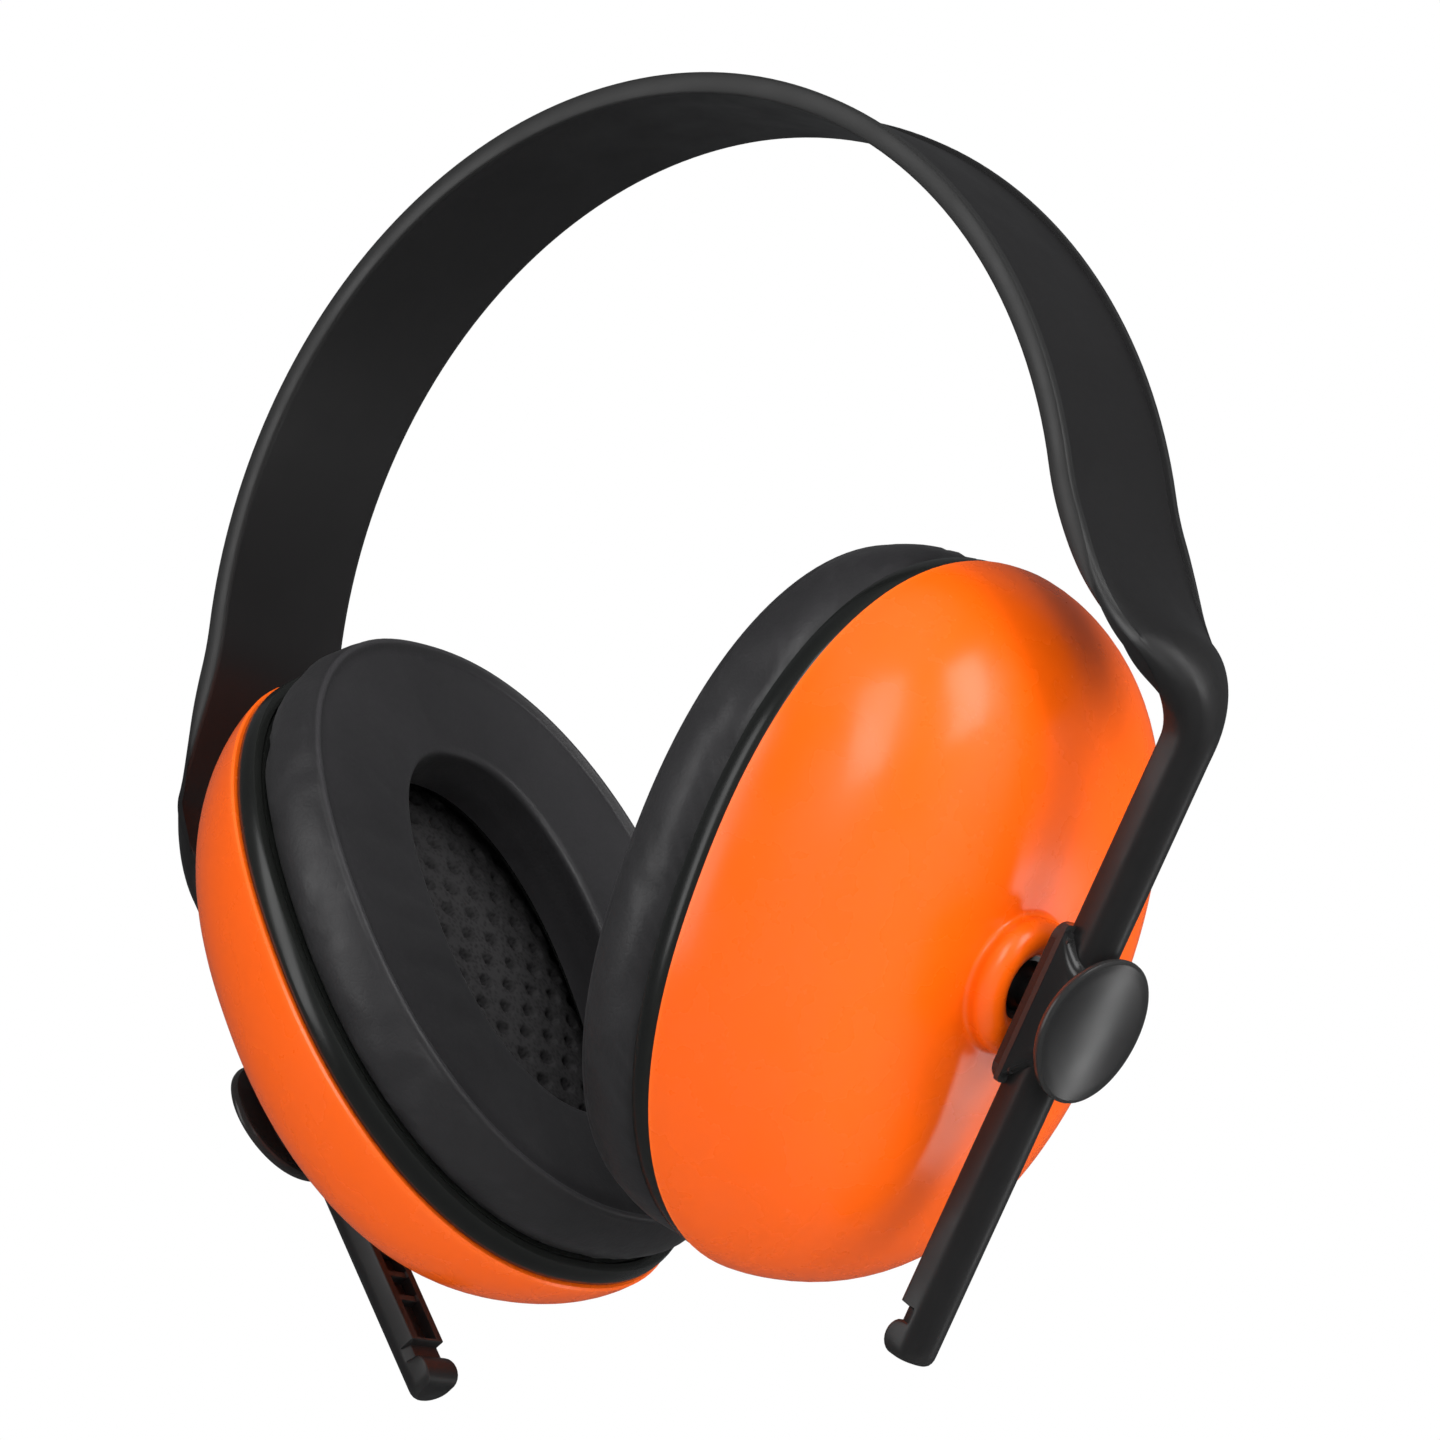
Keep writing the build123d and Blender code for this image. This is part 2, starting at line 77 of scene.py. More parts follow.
rim_centre = ball + cup_out * node_extent("right_cup_shell", cup_out, ball)[0]
CUP_HALF_LENGTH = node_extent("right_cup_shell", cup_down, rim_centre)[1]
CUP_HALF_WIDTH = node_extent("right_cup_shell", front, rim_centre)[1]
BALL_HEIGHT = float((ball - rim_centre) @ cup_out)
BOSS_TOP = node_extent("right_cup_shell", cup_out, rim_centre)[1]
CUSHION_DEPTH = -node_extent("right_cushion_cover", cup_out, rim_centre)[0]
PLATE_DEPTH = -node_extent("right_cushion_plate", cup_out, rim_centre)[0]
BALL_DEPTH = 11.3 * MM
pivot = ball + arm_out * BALL_DEPTH
ARM_END = node_extent("right_headband", arm_down, pivot)[1]
DISC_TOP = node_extent("right_slider_cap", arm_out, pivot)[1]
DISC_RADIUS = node_extent("right_slider_cap", front, pivot)[1]
BAND_HALF_WIDTH = node_extent("right_headband", front, pivot)[1]

# ---- sizes the frame doesn't state ------------------------------------------------------------------
OVAL_POWER = 2.24
DOME_HEIGHT = 24.25 * MM
DOME_POWER_UP = 1.57
DOME_POWER_IN = 4.33
WALL = 2.2 * MM
BOSS_TUBE = 2.6 * MM
BOSS_HOLE = 4.6 * MM
BAND_THICKNESS = 2.5 * MM
LIP_HEIGHT = 0.7 * MM
BOW_RADIUS = 78.5 * MM
FLARE_RADIUS = 45.2 * MM
SHOULDER_RADIUS = 12.0 * MM
BOW_END_ANGLE = math.radians(7.9)
TAPER_TOP = 108.0 * MM
TAPER_BOTTOM = 78.9 * MM
TAPER_LAG = 1.45
ARM_HALF_WIDTH = 3.4 * MM
ARM_HALF_THICKNESS = 3.0 * MM
MIRROR = np.array([-1.0, 1.0, 1.0])


# ---- mesh helpers -----------------------------------------------------------------------------------
def signed_volume(verts, faces):
    """Six times the volume inside the faces, negative where they face inwards."""
    total = 0.0
    for face in faces:
        a = verts[face[0]]
        for i in range(1, len(face) - 1):
            total += np.dot(a, np.cross(verts[face[i]], verts[face[i + 1]]))
    return total


def loft(rings, closed):
    """A solid from rings of equally many points; closed joins the last ring back to the first."""
    rings = [np.asarray(ring) for ring in rings]
    count = len(rings[0])
    verts = np.concatenate(rings)
    faces = []
    steps = len(rings) if closed else len(rings) - 1
    for i in range(steps):
        low = i * count
        high = ((i + 1) % len(rings)) * count
        for j in range(count):
            k = (j + 1) % count
            faces.append((low + j, low + k, high + k, high + j))
    if not closed:
        faces.append(tuple(range(count))[::-1])
        last = (len(rings) - 1) * count
        faces.append(tuple(range(last, last + count)))
    if signed_volume(verts - verts.mean(axis=0), faces) < 0:
        faces = [face[::-1] for face in faces]
    return verts, faces


def join_parts(*parts):
    """Several separate closed shells as one mesh."""
    verts = np.concatenate([part[0] for part in parts])
    faces = []
    start = 0
    for part_verts, part_faces in parts:
        faces += [tuple(start + i for i in face) for face in part_faces]
        start += len(part_verts)
    return verts, faces


def mirrored(shape):
    """The same shape for the left-hand side."""
    verts, faces = shape
    return verts * MIRROR, [face[::-1] for face in faces]


def make_object(name, shape, material, sharp_degrees=40):
    """A smooth-shaded mesh object with hard edges where faces meet at more than sharp_degrees."""
    verts, faces = shape
    mesh = bpy.data.meshes.new(name)
    mesh.from_pydata([tuple(v) for v in verts], [], faces)
    mesh.validate()
    mesh.update()
    obj = bpy.data.objects.new(name, mesh)
    bpy.context.scene.collection.objects.link(obj)
    mesh.materials.append(material)
    mesh.shade_smooth()
    mesh.set_sharp_from_angle(angle=math.radians(sharp_degrees))
    return obj


def on_both_sides(name, shape, material, body, nodes=(), sharp_degrees=40):
    """One piece on each side, riding on that side's body and standing for that side's CAD nodes."""
    for side, side_shape in (("right", shape), ("left", mirrored(shape))):
        obj = make_object(f"{side}_{name}", side_shape, material, sharp_degrees)
        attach(obj, f"{side}_{body}")
        if nodes:
            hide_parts(*[f"{side}_{node}" for node in nodes])


def cup_points(points):
    """Points given down the cup, across it and out from its rim plane, placed in the frame."""
    points = np.asarray(points)
    return rim_centre + points[:, :1] * cup_down + points[:, 1:2] * front + points[:, 2:] * cup_out


def arm_points(points):
    """Points given down the arm, across it and out from its middle, placed in the frame."""
    points = np.asarray(points)
    return pivot + points[:, :1] * arm_down + points[:, 1:2] * front + points[:, 2:] * arm_out


def oval_radius(angle, half_length, half_width):
    """Distance from the middle of a superellipse to its edge."""
    along = abs(math.cos(angle)) / half_length
    across = abs(math.sin(angle)) / half_width
    return (along**OVAL_POWER + across**OVAL_POWER) ** (-1 / OVAL_POWER)


def oval_ring(half_length, half_width, height, count):
    """A superellipse's points at one height, in the cup's directions."""
    ring = []
    for j in range(count):
        angle = 2 * math.pi * j / count
        radius = oval_radius(angle, half_length, half_width)
        ring.append((radius * math.cos(angle), radius * math.sin(angle), height))
    return ring


def circle_ring(radius, height, count):
    return [
        (radius * math.cos(2 * math.pi * j / count), radius * math.sin(2 * math.pi * j / count), height)
        for j in range(count)
    ]


def smoothstep(value):
    """0 below 0, 1 above 1 and an S curve between."""
    value = min(1.0, max(0.0, value))
    return value * value * (3 - 2 * value)


# ---- materials --------------------------------------------------------------------------------------
def new_material(name):
    material = bpy.data.materials.new(name)
    material.use_nodes = True
    nodes = material.node_tree.nodes
    return material, nodes, material.node_tree.links, nodes["Principled BSDF"]


def add_noise(nodes, links, scale, detail=4.0, stretch=None):
    """Noise in object space, in cycles per metre, so that it is the same size on every piece."""
    coords = nodes.new("ShaderNodeTexCoord")
    noise = nodes.new("ShaderNodeTexNoise")
    noise.inputs["Scale"].default_value = scale
    noise.inputs["Detail"].default_value = detail
    if stretch:
        mapping = nodes.new("ShaderNodeMapping")
        mapping.inputs["Scale"].default_value = stretch
        links.new(coords.outputs["Object"], mapping.inputs["Vector"])
        links.new(mapping.outputs["Vector"], noise.inputs["Vector"])
    else:
        links.new(coords.outputs["Object"], noise.inputs["Vector"])
    return noise.outputs["Fac"]


def spread(nodes, links, source, low, high, from_low=0.3, from_high=0.7):
    """A value stretched from its own range onto another."""
    node = nodes.new("ShaderNodeMapRange")
    node.inputs["From Min"].default_value = from_low
    node.inputs["From Max"].default_value = from_high
    node.inputs["To Min"].default_value = low
    node.inputs["To Max"].default_value = high
    links.new(source, node.inputs["Value"])
    return node.outputs["Result"]


def mix_colours(nodes, links, factor, first, second):
    node = nodes.new("ShaderNodeMix")
    node.data_type = "RGBA"
    links.new(factor, node.inputs["Factor"])
    for socket, colour in (("A", first), ("B", second)):
        target = [i for i in node.inputs if i.name == socket and i.type == "RGBA"][0]
        if isinstance(colour, tuple):
            target.default_value = (*colour, 1)
        else:
            links.new(colour, target)
    return [o for o in node.outputs if o.type == "RGBA"][0]


def add_bump(nodes, links, height, strength, distance, normal=None):
    node = nodes.new("ShaderNodeBump")
    node.inputs["Strength"].default_value = strength
    node.inputs["Distance"].default_value = distance
    links.new(height, node.inputs["Height"])
    if normal:
        links.new(normal, node.inputs["Normal"])
    return node.outputs["Normal"]


def edge_highlight_mask(nodes, links, sharpness=0.04):
    """Bright on convex edges, for a highlight painted along them."""
    geometry = nodes.new("ShaderNodeNewGeometry")
    return spread(nodes, links, geometry.outputs["Pointiness"], 0, 1, 0.5 + sharpness * 0.3, 0.5 + sharpness)


def moulded_plastic(name, colour, edge_highlight_colour, roughness, grain, coat=0.0, mottle=0.12):
    """Injection-moulded plastic: faint colour drift, fine spark-eroded grain and a painted highlight on
    convex edges.
    """
    material, nodes, links, shader = new_material(name)
    darker = tuple(channel * (1 - mottle) for channel in colour)
    drift = spread(nodes, links, add_noise(nodes, links, 35, 3), 0, 1)
    body = mix_colours(nodes, links, drift, darker, colour)
    # painted highlight: convex edges lightened towards the paler second colour
    edge_highlit = mix_colours(nodes, links, edge_highlight_mask(nodes, links), body, edge_highlight_colour)
    links.new(edge_highlit, shader.inputs["Base Color"])
    smudge = add_noise(nodes, links, 120, 5)
    links.new(spread(nodes, links, smudge, roughness * 0.86, roughness * 1.16), shader.inputs["Roughness"])
    fine = add_bump(nodes, links, add_noise(nodes, links, 2600, 2), grain, 0.00004)
    wave = add_bump(nodes, links, add_noise(nodes, links, 60, 2), grain * 0.6, 0.0003, fine)
    links.new(wave, shader.inputs["Normal"])
    shader.inputs["Specular IOR Level"].default_value = 0.4
    shader.inputs["Coat Weight"].default_value = coat
    shader.inputs["Coat Roughness"].default_value = roughness * 0.5
    return material


def pvc_skin(name, colour, pale, roughness):
    """Soft PVC with a pebbled leather grain, a faint sheen, paler patches and a painted highlight on convex
    edges.
    """
    material, nodes, links, shader = new_material(name)
    coords = nodes.new("ShaderNodeTexCoord")
    pebbles = nodes.new("ShaderNodeTexVoronoi")
    pebbles.feature = "DISTANCE_TO_EDGE"
    pebbles.inputs["Scale"].default_value = 950
    pebbles.inputs["Randomness"].default_value = 0.9
    links.new(coords.outputs["Object"], pebbles.inputs["Vector"])
    valleys = spread(nodes, links, pebbles.outputs["Distance"], 0, 1, 0.0, 0.22)
    drift = spread(nodes, links, add_noise(nodes, links, 55, 4), 0, 1)
    body = mix_colours(nodes, links, drift, colour, pale)
    # painted highlight: convex edges, such as the welt and the opening's lip, lightened to half again the
    # pale colour
    edge_highlit = mix_colours(nodes, links, edge_highlight_mask(nodes, links, 0.06), body, tuple(c * 1.5 for c in pale))
    links.new(edge_highlit, shader.inputs["Base Color"])
    smudge = add_noise(nodes, links, 260, 4)
    links.new(spread(nodes, links, smudge, roughness * 0.88, roughness * 1.12), shader.inputs["Roughness"])
    grain = add_bump(nodes, links, valleys, 0.16, 0.00006)
    soft = add_bump(nodes, links, add_noise(nodes, links, 90, 3), 0.25, 0.0006, grain)
    links.new(soft, shader.inputs["Normal"])
    shader.inputs["Sheen Weight"].default_value = 0.03
    shader.inputs["Sheen Roughness"].default_value = 0.4
    return material


def foam_material(name, colour, pale):
    """Open-cell foam: matt, with small round cells of two sizes, painted darker in the middle of each cell's
    pit.
    """
    material, nodes, links, shader = new_material(name)
    coords = nodes.new("ShaderNodeTexCoord")
    cells = nodes.new("ShaderNodeTexVoronoi")
    cells.inputs["Scale"].default_value = 1400
    links.new(coords.outputs["Object"], cells.inputs["Vector"])
    depth = spread(nodes, links, cells.outputs["Distance"], 0, 1, 0.1, 0.6)
    # painted shade: darker towards each cell's middle, where the bump below makes a pit
    body = mix_colours(nodes, links, depth, tuple(c * 0.8 for c in colour), pale)
    links.new(body, shader.inputs["Base Color"])
    shader.inputs["Roughness"].default_value = 0.95
    shader.inputs["Specular IOR Level"].default_value = 0.15
    fine = add_bump(nodes, links, depth, 0.25, 0.0002)
    coarse = add_bump(nodes, links, add_noise(nodes, links, 400, 4), 0.2, 0.0003, fine)
    links.new(coarse, shader.inputs["Normal"])
    return material


# each moulded plastic's second colour is the painted highlight on its convex edges
band_plastic = moulded_plastic("band_plastic", (0.0105, 0.0102, 0.0105), (0.020, 0.020, 0.020), 0.38, 0.10)
slider_plastic = moulded_plastic("slider_plastic", (0.013, 0.013, 0.0132), (0.022, 0.022, 0.022), 0.22, 0.10)
pivot_plastic = moulded_plastic("pivot_plastic", (0.006, 0.006, 0.0062), (0.012, 0.012, 0.012), 0.30, 0.06)
rim_plastic = moulded_plastic(
    "rim_plastic", (0.006, 0.0065, 0.0062), (0.012, 0.013, 0.012), 0.24, 0.05, coat=0.1
)
shell_plastic = moulded_plastic(
    "shell_plastic", (0.92, 0.112, 0.0015), (0.95, 0.128, 0.006), 0.27, 0.06, coat=0.1, mottle=0.03
)
cushion_skin = pvc_skin("cushion_skin", (0.0165, 0.0160, 0.0172), (0.021, 0.0203, 0.0218), 0.44)
pad_foam = foam_material("pad_foam", (0.025, 0.024, 0.025), (0.034, 0.033, 0.034))


# ---- headband ---------------------------------------------------------------------------------------
BOW_STEP = 2.2 * MM
FLARE_STEP = 1.2 * MM
SHOULDER_STEP = 0.8 * MM
RIB_PITCH = 4.2 * MM
RIB_LENGTH = 0.9 * MM
KNOB_LENGTH = 5.0 * MM
NOTCH_LENGTH = 2.2 * MM
NOTCH_DEPTH = 1.2 * MM
CHANNEL_TOP = -14.0 * MM
CHANNEL_STOP = 1.0 * MM
CHANNEL_DEPTH = 1.7 * MM
CHANNEL_DEPTH_ON_RIB = 0.35 * MM
EDGE = 0.15 * MM

# shares of the half-width: where the section has points, where its channel ends, where the lips
# along the band start and where its edges turn round
ACROSS = (0.0, 0.2, 0.4, 0.55, 0.60, 0.7, 0.78, 0.85, 0.885, 0.905, 0.93, 0.965, 0.99, 1.0)
CHANNEL_SHARE = 0.58
LIP_SHARE = 0.9
ROUND_SHARE = 0.985
OUTER_ROUND = 0.45 * MM
INNER_ROUND = 0.35 * MM

# the arm's end: shares of the arm's own section at the notch and at the knob's ends
NOTCH_WIDTH_SHARE = 0.85
KNOB_WIDTH_SHARE = 0.80
KNOB_REACH_SHARE = 0.5
KNOB_RISE = 0.3 * MM
TIP_START = 0.35
TIP_SCALE = 0.62
KNOB_POINTS = 12


def band_arcs():
    """In the XZ plane: centres of the bow, the flare and the shoulder, and the arm's directions."""
    bow = np.array([0.0, crown[2] - LIP_HEIGHT - BAND_THICKNESS / 2 - BOW_RADIUS])
    radial = np.array([math.cos(BOW_END_ANGLE), math.sin(BOW_END_ANGLE)])
    flare = bow + radial * (BOW_RADIUS + FLARE_RADIUS)
    down = arm_down[[0, 2]]
    out = arm_out[[0, 2]]
    start = pivot[[0, 2]] - out * SHOULDER_RADIUS
    offset = start - flare
    along = offset @ down
    reach = FLARE_RADIUS + SHOULDER_RADIUS
    shoulder = start - down * (along - math.sqrt(along**2 - offset @ offset + reach**2))
    return bow, flare, shoulder, radial, down, out


def arc_stations(centre, radius, first, last, step, facing):
    """Places about a step apart on an arc, each with the outward direction there."""
    count = max(2, int(abs(last - first) * radius / step))
    stations = []
    for i in range(count):
        angle = first + (last - first) * i / count
        normal = np.array([math.cos(angle), math.sin(angle)])
        stations.append((centre + normal * radius, normal * facing))
    return stations


def headband_stations():
    """Places down the middle of the band: (point, outward direction, share of the way from band to arm,
    distance below the pivot, or None above the straight arm)."""
    bow, flare, shoulder, radial, down, out = band_arcs()
    meeting = (shoulder - flare) / np.linalg.norm(shoulder - flare)
    stations = []
    for point, normal in arc_stations(bow, BOW_RADIUS, math.pi / 2, BOW_END_ANGLE, BOW_STEP, 1):
        stations.append((point, normal, 0.0, None))
    first = math.atan2(-radial[1], -radial[0]) % (2 * math.pi)
    last = math.atan2(meeting[1], meeting[0]) % (2 * math.pi)
    curved = arc_stations(flare, FLARE_RADIUS, first, last, FLARE_STEP, -1)
    first = math.atan2(-meeting[1], -meeting[0])
    last = math.atan2(out[1], out[0])
    curved += arc_stations(shoulder, SHOULDER_RADIUS, first, last, SHOULDER_STEP, 1)
    for i, (point, normal) in enumerate(curved):
        stations.append((point, normal, smoothstep((i - 6) / (len(curved) - 8)), None))
    top = float((shoulder + out * SHOULDER_RADIUS - pivot[[0, 2]]) @ down)
    for distance in arm_distances(top):
        stations.append((pivot[[0, 2]] + down * distance, out, 1.0, distance))
    return stations


def arm_distances(top):
    """Distances down the straight arm, doubled up at the ribs' edges and at the notch."""
    notch = ARM_END - KNOB_LENGTH - NOTCH_LENGTH
    distances = [top, top + 1.5 * MM]
    rib = CHANNEL_TOP
    while rib + RIB_PITCH < notch:
        distances += [rib - EDGE, rib, rib + RIB_LENGTH, rib + RIB_LENGTH + EDGE]
        rib += RIB_PITCH
    distances += [notch - 1.2 * MM, notch - EDGE * 2, notch, notch + EDGE * 2, notch + NOTCH_LENGTH / 2]
    knob = notch + NOTCH_LENGTH
    for i in range(KNOB_POINTS + 1):
        distances.append(knob + KNOB_LENGTH / 2 * (1 - math.cos(math.pi * i / KNOB_POINTS)))
    return sorted(d for d in distances if d >= top)


def taper(height):
    """The band's half-width at a height: full, then narrowing in an S, slow to start, to the arm's."""
    drop = (TAPER_TOP - height) / (TAPER_TOP - TAPER_BOTTOM)
    share = 1 - smoothstep(max(0.0, drop) ** TAPER_LAG)
    return ARM_HALF_WIDTH + (BAND_HALF_WIDTH - ARM_HALF_WIDTH) * share


def channel_depth(distance):
    """Depth of the groove in the arm's inner face: shallow on a rib, nothing past its ends."""
    notch = ARM_END - KNOB_LENGTH - NOTCH_LENGTH
    if distance is None or distance < CHANNEL_TOP or distance > notch - CHANNEL_STOP:
        return 0.0
    past_rib = (distance - CHANNEL_TOP) % RIB_PITCH
    on_rib = past_rib < RIB_LENGTH + EDGE / 2
    return CHANNEL_DEPTH_ON_RIB if on_rib else CHANNEL_DEPTH


def arm_end_section(half_width, half_thick, distance):
    """At the arm's notch and knob: the inner face's half-width and reach, and the outer face's scale."""
    knob = ARM_END - KNOB_LENGTH
    if distance > knob + EDGE:
        along = (distance - knob - KNOB_LENGTH / 2) / (KNOB_LENGTH / 2)
        round_off = math.sqrt(max(0.0, 1 - along**2))
        end = max(0.0, along - TIP_START) / (1 - TIP_START)
        outer_scale = TIP_SCALE + (1 - TIP_SCALE) * math.sqrt(max(0.0, 1 - end**2))
        inner_reach = half_thick * (KNOB_REACH_SHARE + (1 - KNOB_REACH_SHARE) * round_off)
        inner_reach += KNOB_RISE * round_off
        inner_width = half_width * (KNOB_WIDTH_SHARE + (1 - KNOB_WIDTH_SHARE) * round_off)
        return inner_width, inner_reach, outer_scale
    if distance > knob - NOTCH_LENGTH + EDGE:
        return half_width * NOTCH_WIDTH_SHARE, half_thick - NOTCH_DEPTH, 1.0
    return half_width, half_thick, 1.0


def band_section(half_width, share, distance):
    """The section as (across, outward) points: the outer face from one edge to the other, then the inner."""
    half_thick = BAND_THICKNESS / 2 + (ARM_HALF_THICKNESS - BAND_THICKNESS / 2) * share
    inner_width, inner_reach, outer_scale = half_width, half_thick, 1.0
    if distance is not None:
        inner_width, inner_reach, outer_scale = arm_end_section(half_width, half_thick, distance)
    depth = channel_depth(distance)
    spring = half_thick - half_width
    outer = []
    inner = []
    for a in [-a for a in reversed(ACROSS[1:])] + list(ACROSS):
        turn = max(0.0, abs(a) - ROUND_SHARE) / (1 - ROUND_SHARE)
        flat = half_thick - OUTER_ROUND * turn * (1 - share)
        if abs(a) > LIP_SHARE:
            flat += LIP_HEIGHT * (1 - share)
        dome = spring + half_width * math.sqrt(max(0.0, 1 - a * a))
        reach = flat * (1 - share) + dome * share
        outer.append((a * half_width * (0.5 + outer_scale / 2), reach * outer_scale))
        low = inner_reach - INNER_ROUND * turn
        if abs(a) < CHANNEL_SHARE:
            low -= depth
        inner.append((a * inner_width, -low))
    return outer + inner[::-1]


def headband_rings(stations):
    """The band's section at each place, as points in the frame."""
    rings = []
    for point, normal, share, distance in stations:
        ring = []
        for across, out in band_section(taper(point[1]), share, distance):
            place = point + normal * out
            ring.append((place[0], across, place[1]))
        rings.append(np.array(ring))
    return rings


def build_headband():
    """The bow is one mesh across the crown and rides on no body; the arms below the sliders' saddles, which
    hide the seam, each ride rigidly on their side's headband body.
    """
    stations = headband_stations()
    seam = [distance is not None and distance >= 0 for _, _, _, distance in stations].index(True)
    half = headband_rings(stations[:seam + 1])
    other_half = [ring * MIRROR for ring in reversed(half[1:])]
    bow = make_object("headband", loft(other_half + half, closed=False), band_plastic, sharp_degrees=32)
    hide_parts("right_headband", "left_headband")
    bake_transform(bow)
    arm = loft(headband_rings(stations[seam:]), closed=False)
    on_both_sides("headband_arm", arm, band_plastic, "headband", sharp_degrees=32)


build_headband()


# ---- cup shells -------------------------------------------------------------------------------------
CUP_POINTS = 144
RIM_LAND = 0.05 * MM
DOME_TOP_LEVEL = 0.975
DOME_LEVELS = 25
CROWN_RINGS = 14
ROLL_START = -20
ROLL_TURN = 200
ROLL_STEPS = 18
CUFF_RADIUS = 10.6 * MM
BORE_RADIUS = 6.55 * MM
FOOT_RADIUS = 9.0 * MM
SOCKET_TOP = 3.15 * MM
SOCKET_BOTTOM = -5.0 * MM


def dome_scale(level):
    """The dome's outline at a level from 0 at its rim to 1 at its top, as a share of its rim's."""
    return (1 - level**DOME_POWER_UP) ** (1 / DOME_POWER_IN)


def dome_rings(inset, inner_radius, count):
    """Rings up the dome from its rim to a circle round the pivot."""
    length = CUP_HALF_LENGTH - inset
    width = CUP_HALF_WIDTH - inset
    height = DOME_HEIGHT - inset
    rings = []
    for i in range(DOME_LEVELS + 1):
        level = DOME_TOP_LEVEL * math.sin(math.pi / 2 * i / DOME_LEVELS) ** 1.15
        scale = dome_scale(level)
        rings.append(oval_ring(length * scale, width * scale, height * level, count))
    edge = dome_scale(DOME_TOP_LEVEL)
    for i in range(1, CROWN_RINGS + 1):
        share = i / CROWN_RINGS
        ring = []
        for j in range(count):
            angle = 2 * math.pi * j / count
            full = oval_radius(angle, length, width)
            radius = full * edge * (1 - share) + inner_radius * share
            level = (1 - (radius / full) ** DOME_POWER_IN) ** (1 / DOME_POWER_UP)
            ring.append((radius * math.cos(angle), radius * math.sin(angle), height * level))
        rings.append(ring)
    return rings


def cup_shell_shape():
    """The hard shell: dome, rolled ring, pivot hole, boss and inner face, as one closed skin."""
    count = CUP_POINTS
    tube_height = BOSS_TOP - BOSS_TUBE
    tube_radius = BOSS_HOLE + BOSS_TUBE
    rim = [
        oval_ring(CUP_HALF_LENGTH - inset, CUP_HALF_WIDTH - inset, RIM_LAND, count)
        for inset in (0.9 * MM, 0.3 * MM)
    ]
    outside = dome_rings(0, CUFF_RADIUS, count)
    outside[0] = oval_ring(CUP_HALF_LENGTH, CUP_HALF_WIDTH, 0.35 * MM, count)
    fillet = [
        circle_ring(radius * MM, DOME_HEIGHT - drop * MM, count)
        for radius, drop in ((10.25, 0.0), (9.95, -0.1), (9.76, -0.35))
    ]
    roll = []
    for i in range(ROLL_STEPS + 1):
        angle = math.radians(ROLL_START + ROLL_TURN * i / ROLL_STEPS)
        radius = tube_radius + BOSS_TUBE * math.cos(angle)
        roll.append(circle_ring(radius, tube_height + BOSS_TUBE * math.sin(angle), count))
    lip = BALL_HEIGHT + SOCKET_TOP
    foot = BALL_HEIGHT + SOCKET_BOTTOM
    bore = ((BOSS_HOLE, lip), (BORE_RADIUS, lip), (BORE_RADIUS, foot), (FOOT_RADIUS, foot))
    hole = [circle_ring(radius, height, count) for radius, height in bore]
    inside = dome_rings(WALL, FOOT_RADIUS, count)
    inside[0] = oval_ring(CUP_HALF_LENGTH - WALL, CUP_HALF_WIDTH - WALL, RIM_LAND, count)
    rings = rim + outside + fillet + roll + hole + inside[::-1]
    return loft([cup_points(ring) for ring in rings], closed=True)


on_both_sides("cup_shell", cup_shell_shape(), shell_plastic, "cup", ["cup_shell"])


# ---- rim rings --------------------------------------------------------------------------------------
def seal_ring_shape():
    """The black ring at the shell's rim: rounded outer edge, flat land and the spigot in the shell."""
    profile = (
        (2.6, 2.6), (2.6, 0.0), (1.3, -0.05), (0.75, -0.22), (0.5, -0.6), (0.42, -1.6), (0.5, -2.6),
        (0.72, -3.55), (0.85, -3.8), (1.05, -3.88), (2.1, -3.88), (2.2, -2.4), (13.5, -2.4), (13.5, -0.7),
        (5.0, -0.7), (5.0, 2.6),
    )
    rings = []
    for inset, height in profile:
        length = CUP_HALF_LENGTH - inset * MM
        width = CUP_HALF_WIDTH - inset * MM
        rings.append(oval_ring(length, width, height * MM, CUP_POINTS))
    return loft([cup_points(ring) for ring in rings], closed=True)


on_both_sides("rim_ring", seal_ring_shape(), rim_plastic, "cup", ["seal_ring"], 30)


# ---- ear cushions -----------------------------------------------------------------------------------
BACK = (48.3 * MM, 37.3 * MM)
BULGE = (51.1 * MM, 40.0 * MM)
CREASE = (49.4 * MM, 38.3 * MM)
OPENING = (30.9 * MM, 19.0 * MM)
CUSHION_POINTS = 160
PUFF = 0.35 * MM
CLOTH_FRAMES = 20


def between(first, second, share):
    return tuple(a + (b - a) * share for a, b in zip(first, second))


